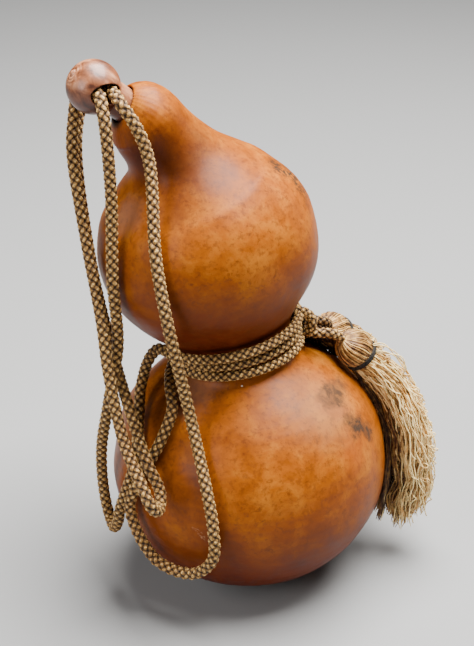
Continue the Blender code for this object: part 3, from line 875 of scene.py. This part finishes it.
skin = {
    "colors": [(0.30, (0.160, 0.031, 0.0004)), (0.49, (0.300, 0.072, 0.0012)),
               (0.68, (0.460, 0.145, 0.007))],
    "blotch": (0.042, 0.024, 0.014), "undersideShade": (0.30, 0.13, 0.04), "pore": (0.13, 0.030, 0.004),
    "fleck": (0.10, 0.022, 0.003), "neckShadowTint": (0.050, 0.008, 0.001), "scratch": (0.80, 0.50, 0.25),
    "speck": (0.85, 0.80, 0.70), "mouthShade": (0.02, 0.008, 0.004),
    "finish": {"Specular IOR Level": 0.12, "Coat Weight": 0.06, "Coat Roughness": 0.34},
    "noises": {  # scale, detail, roughness, distortion
        "broad": (14, 4, 0.55, 0.5), "mottle": (85, 6, 0.68, 0.4), "grain": (420, 4, 0.7),
        "flecks": (260, 5, 0.75, 0.8), "patchy": (260, 5, 0.7, 0.6), "flaky": (420, 4, 0.7, 0.6),
        "warp": (120, 5, 0.7, 0.0, "Color"),
    },
    "edgeSoft": 0.0022, "edgeWander": 0.016,
    # the hollow between neck and shoulder that is filled, along the neck and out from it
    "hollowFrom": -0.018, "hollowTo": 0.015, "hollowReach": 0.040, "hollowFill": 0.0030,
    "hollowWidth": 0.007, "smoothing": 60,
    "dentDepth": 0.0007, "mouthKept": 0.018,
    "fuller": [  # centre and direction of the swelling, half its width in degrees,
        # its height, and from where to where up it goes
        ((-0.0181, 0.0, 0.1591), (1.0, -0.05, 0.20), 46, 0.0022, 0.122, 0.220),
        ((0.0, 0.0, 0.0525), (-0.755, 0.352, 0.554), 32, 0.0030, 0.0, 0.1085),
    ],
    "flakes": [
        ((0.0117, -0.0006, 0.1918), 0.0052, 1.0), ((0.0167, 0.0003, 0.1867), 0.0055, 1.0),
        ((0.0200, -0.0034, 0.1828), 0.0047, 1.0),
    ],
    "blotches": [  # place, reach, strength
        ((0.0359, -0.0180, 0.0969), 0.0066, 0.86),
        ((0.0317, -0.0245, 0.0967), 0.0048, 0.62), ((0.0389, -0.0108, 0.0967), 0.0048, 0.66),
        ((0.0471, -0.0239, 0.0830), 0.0056, 1.0), ((0.0434, -0.0250, 0.0867), 0.0042, 0.92),
        ((0.0514, -0.0205, 0.0785), 0.0048, 1.0), ((0.0140, 0.0280, 0.1860), 0.0055, 0.6),
        ((-0.0400, 0.0420, 0.0700), 0.0060, 0.6), ((0.0100, 0.0560, 0.0600), 0.0075, 0.6),
    ],
    "smearsAndSheen": [  # place, reach, strength, tint
        ((-0.0253, -0.0219, 0.0972), 0.0100, 0.55, (0.16, 0.085, 0.060)),
        ((0.0440, -0.0345, 0.0760), 0.0065, 0.32, (0.36, 0.070, 0.006)),
        # a painted reflection: a pale grey sheen on the upper lobe's left
        ((-0.0500, -0.0218, 0.1796), 0.0080, 0.40, (0.26, 0.150, 0.105)),
        ((-0.0315, -0.0331, 0.1843), 0.0075, 0.40, (0.12, 0.030, 0.006)),
        ((0.0300, -0.0280, 0.0930), 0.0150, 0.30, (0.30, 0.170, 0.090)),
    ],
    # painted shadow in the hollow between neck and upper lobe
    "neckShadow": ((-0.029, -0.019, 0.199), 0.016, 0.013, 0.85),  # place, reach, softness, strength
    "ringScratch": ((-0.0205, -0.0570, 0.0508), 0.0020, 0.32),  # place, radius, strength
    "specks": [((-0.0033, -0.0262, 0.1039), 0.0006), ((0.0105, -0.0594, 0.0416), 0.0005),
               ((-0.0380, -0.0200, 0.1850), 0.0005)],
}


def skinMaterial():
    material, tree, shader = newMaterial("waxedGourdSkin")
    where = objectPlace(tree)
    broad, mottle, grain, flecks, patchy, flaky, warp = (
        noiseTexture(tree, where, *values) for values in skin["noises"].values())
    color = colorRamp(tree, weighted(tree, broad, 0.35, mottle, 0.65), skin["colors"])
    # painted shade: the skin is darkened where it faces down
    under = underneath(tree, broad, 0.4, 0.84, -0.56)
    color = mixColor(tree, under, color, skin["undersideShade"], "MULTIPLY")
    color = mixColor(tree, mapRange(tree, grain, 0.48, 0.66, 0.0, 0.55), color, skin["pore"])
    color = mixColor(tree, mapRange(tree, flecks, 0.57, 0.67, 0.0, 0.60), color, skin["fleck"])
    # marks are laid out on a place that wanders a little, so their edges are uneven
    wander = skin["edgeWander"]
    shift = addNode(tree, "ShaderNodeVectorMath", operation="MULTIPLY_ADD")
    plug(tree, warp, shift.inputs[0])
    shift.inputs[1].default_value = (wander, wander, wander)
    shift.inputs[2].default_value = (-wander / 2, -wander / 2, -wander / 2)
    moved = addNode(tree, "ShaderNodeVectorMath", operation="ADD")
    plug(tree, where, moved.inputs[0])
    plug(tree, shift.outputs[0], moved.inputs[1])

    def near(place, reach, soft, strength):
        away = distanceFrom(tree, moved.outputs[0], place)
        return mathNode(tree, "MULTIPLY", mapRange(tree, away, reach + soft, reach - soft), strength)

    # painted shadow in the hollow between neck and upper lobe
    color = mixColor(tree, near(*skin["neckShadow"]), color, skin["neckShadowTint"])
    # smears, and one painted reflection
    for place, reach, strength, tint in skin["smearsAndSheen"]:
        color = mixColor(tree, near(place, reach, reach * 0.7, strength), color, tint)
    # flakes are broken up far more than the soft blotches
    for group, breakUp, least in (("flakes", flaky, 0.10), ("blotches", patchy, 0.68)):
        marks = None
        for place, reach, strength in skin[group]:
            one = near(place, reach, skin["edgeSoft"], strength)
            marks = one if marks is None else mathNode(tree, "MAXIMUM", marks, one)
        broken = mathNode(tree, "MULTIPLY", marks, mapRange(tree, breakUp, 0.40, 0.58, least, 1.0))
        color = mixColor(tree, broken, color, skin["blotch"])
    # a thin pale scratch round part of a small ring
    place, radius, strength = skin["ringScratch"]
    off = mathNode(tree, "SUBTRACT", distanceFrom(tree, moved.outputs[0], place), radius)
    off = mathNode(tree, "ABSOLUTE", off, 0)
    line = mathNode(tree, "MULTIPLY", mapRange(tree, off, 0.00024, 0.00008, 0.0, strength),
                    mapRange(tree, patchy, 0.40, 0.50))
    color = mixColor(tree, line, color, skin["scratch"])
    for place, reach in skin["specks"]:
        speck = mapRange(tree, distanceFrom(tree, where, place), reach, reach * 0.6)
        color = mixColor(tree, speck, color, skin["speck"])
    # painted shade: the mouth round the stopper's shank is painted near black
    inside = Vector(stopper["mouth"]) - Vector(stopper["axis"]).normalized() * 0.009
    mouthShadeMask = mapRange(tree, distanceFrom(tree, where, inside), 0.0118, 0.0108)
    color = mixColor(tree, mouthShadeMask, color, skin["mouthShade"])
    plug(tree, color, shader.inputs["Base Color"])
    rough = mapRange(tree, mottle, 0.3, 0.7, 0.38, 0.54)
    rough = mathNode(tree, "ADD", rough, mathNode(tree, "MULTIPLY", broken, 0.2))
    plug(tree, rough, shader.inputs["Roughness"])
    setSockets(shader, skin["finish"])
    addBump(tree, shader, weighted(tree, mottle, 0.7, grain, 0.3), 0.25, 0.0006)
    return material


def smoothStep(share):
    return share * share * (3 - 2 * share)


def addSkin():
    # a copy of the CAD shell, made finer, filled out, softened and slightly dented
    onlySelect(nodes["gourd"])
    bpy.ops.object.duplicate()
    piece = bpy.context.object
    piece.name = "gourdSkin"
    onlySelect(piece)
    bpy.ops.object.mode_set(mode="EDIT")
    bpy.ops.mesh.select_all(action="SELECT")
    bpy.ops.mesh.remove_doubles(threshold=0.00001)
    bpy.ops.mesh.tris_convert_to_quads(face_threshold=radians(60), shape_threshold=radians(60))
    bpy.ops.object.mode_set(mode="OBJECT")
    relax = piece.modifiers.new("relax", "SMOOTH")
    relax.factor, relax.iterations = 0.4, 2
    finer = piece.modifiers.new("finer", "SUBSURF")
    finer.levels = finer.render_levels = 2
    applyModifiers(piece)
    base = spineLine.place(upperAt + gourd["upperTop"])
    axis = spineLine.direction(upperAt + gourd["upperTop"])
    toRight = np.array([1.0, -0.25, 0.0])
    toRight = toRight - axis * toRight.dot(axis)
    toRight /= np.linalg.norm(toRight)
    mesh = piece.data
    for vertex in mesh.vertices:
        gap = np.array(vertex.co) - base
        up = float(gap.dot(axis))
        vertex.select = (skin["hollowFrom"] < up < skin["hollowTo"]
                         and float(np.linalg.norm(gap)) < skin["hollowReach"])
        if vertex.select:
            # the hollow between neck and shoulder is shallower on the right
            outward = gap - axis * up
            outward /= np.linalg.norm(outward)
            side = smoothStep(min(1.0, max(0.0, (outward.dot(toRight) + 0.1) / 0.8)))
            side *= exp(-((up - 0.001) / skin["hollowWidth"]) ** 2)
            vertex.co += Vector(outward * (skin["hollowFill"] * side))
        for centre, toward, width, height, lowest, highest in skin["fuller"]:
            # a lobe that has grown fuller on one side
            arm = vertex.co - Vector(centre)
            if not lowest < vertex.co.z < highest or arm.length > 0.070:
                continue
            edge = cos(radians(width))
            share = arm.normalized().dot(Vector(toward).normalized()) - edge
            share = max(0.0, share / (1 - edge))
            vertex.co += arm.normalized() * (height * smoothStep(share))
    for polygon in mesh.polygons:
        polygon.select = all(mesh.vertices[v].select for v in polygon.vertices)
    bpy.ops.object.mode_set(mode="EDIT")
    bpy.ops.mesh.select_mode(type="VERT")
    bpy.ops.mesh.vertices_smooth(factor=0.5, repeat=skin["smoothing"])
    bpy.ops.object.mode_set(mode="OBJECT")
    normals = np.zeros(len(mesh.vertices) * 3)
    mesh.vertices.foreach_get("normal", normals)
    normals = normals.reshape(-1, 3)
    mouth = Vector(stopper["mouth"])
    for vertex, normal in zip(mesh.vertices, normals):
        if (vertex.co - mouth).length < skin["mouthKept"]:
            continue
        dent = noise.noise(vertex.co * 24) + 0.5 * noise.noise(vertex.co * 60)
        moved = vertex.co + Vector(normal) * (min(0.0, dent - 0.15) * skin["dentDepth"])
        moved.z = max(moved.z, 0.0)
        vertex.co = moved
    mesh.materials.clear()
    mesh.materials.append(skinMaterial())
    onlySelect(piece)
    bpy.ops.object.shade_smooth()
    finishPiece(piece, "gourd")
    print("gourd skin:", len(mesh.polygons), "faces")


def woodMaterial():
    # the grain runs along the stopper's axis
    material, tree, shader = newMaterial("turnedWoodFinish")
    where = objectPlace(tree)
    mapping = addNode(tree, "ShaderNodeMapping")
    mapping.inputs["Rotation"].default_value = stopperFrame().inverted().to_euler("XYZ")
    plug(tree, where, mapping.inputs["Vector"])
    stretch = addNode(tree, "ShaderNodeMapping")
    stretch.inputs["Scale"].default_value = (1, 1, 0.22)
    plug(tree, mapping.outputs[0], stretch.inputs["Vector"])
    streak = noiseTexture(tree, stretch.outputs[0], 330, 5, 0.6, 0.5)
    broad = noiseTexture(tree, where, 110, 4)
    color = colorRamp(tree, weighted(tree, streak, 0.55, broad, 0.45), stopper["colors"])
    # painted shade: the stopper is darkened where it faces down
    stopperUnderShade = underneath(tree, broad, 0.6, 0.75, -0.25)
    color = mixColor(tree, stopperUnderShade, color, stopper["stopperUnderShade"], "MULTIPLY")
    plug(tree, color, shader.inputs["Base Color"])
    setSockets(shader, stopper["finish"])
    addBump(tree, shader, streak, 0.3, 0.0003)
    return material


def addStopper():
    # made upright at the origin, then turned and moved into the mouth
    place = stopperFrame()
    toLocal = place.to_3x3().inverted()
    knobCentre = Vector((0, 0, stopper["knobAt"])) + toLocal @ Vector(stopper["knobShift"])
    bpy.ops.object.select_all(action="DESELECT")
    bpy.ops.mesh.primitive_uv_sphere_add(segments=72, ring_count=56, radius=stopper["knobRadius"],
                                         location=knobCentre)
    knob = bpy.context.object
    knob.name = "turnedStopper"
    bpy.ops.object.transform_apply()
    # the shank widens where it meets the knob
    top, bottom = stopper["shankTop"], -stopper["shankDepth"]
    bpy.ops.mesh.primitive_cone_add(vertices=72, radius1=stopper["shankTip"],
                                    radius2=stopper["shankRadius"], depth=top - bottom,
                                    location=(0, 0, (top + bottom) / 2))
    shank = bpy.context.object
    bpy.ops.object.transform_apply()
    bpy.ops.mesh.primitive_cylinder_add(vertices=64, radius=1, depth=0.06)
    hole = bpy.context.object
    hole.scale = (stopper["holeHalfHeight"], stopper["holeHalfWidth"], 1)
    level = toLocal @ Vector((0, 0, 1)).cross(Vector(stopper["hole"])).normalized()
    along = Vector((1, 0, 0))
    hole.matrix_world = (Matrix.Translation((0, 0, stopper["knobAt"] - stopper["holeBelow"]))
                         @ Matrix((level.cross(along), level, along)).transposed().to_4x4()
                         @ Matrix.Diagonal((*hole.scale, 1)))
    bpy.context.view_layer.update()
    onlySelect(hole)
    bpy.ops.object.transform_apply()
    for other, operation in ((shank, "UNION"), (hole, "DIFFERENCE")):
        cut = knob.modifiers.new(operation.lower(), "BOOLEAN")
        cut.operation = operation
        cut.object = other
    # an even fine mesh, so that the rims of the hole can be worn round
    even = knob.modifiers.new("evenMesh", "REMESH")
    even.mode = "VOXEL"
    even.voxel_size = stopper["fineness"]
    applyModifiers(knob)
    for other in (shank, hole):
        bpy.data.objects.remove(other)
    onlySelect(knob)
    bpy.ops.object.mode_set(mode="EDIT")
    bpy.ops.mesh.select_all(action="SELECT")
    bpy.ops.mesh.vertices_smooth(factor=0.5, repeat=stopper["worn"])
    bpy.ops.object.mode_set(mode="OBJECT")
    for vertex in knob.data.vertices:
        # lathe rings near the end of the knob, and the nub left at its centre
        arm = vertex.co - knobCentre
        away = sqrt(arm.x ** 2 + arm.y ** 2) / stopper["knobRadius"]
        if arm.z > 0 and away < 0.6:
            rise = sum(high * exp(-((away - out) / wide) ** 2)
                       for high, out, wide in stopper["latheRings"])
            vertex.co += arm.normalized() * rise
    knob.data.transform(place)
    knob.data.materials.clear()
    knob.data.materials.append(woodMaterial())
    onlySelect(knob)
    bpy.ops.object.shade_smooth()
    finishPiece(knob, "stopper")
    print("stopper:", len(knob.data.polygons), "faces")


addStudio()
addCords()
addSkin()
addStopper()
addTassels()
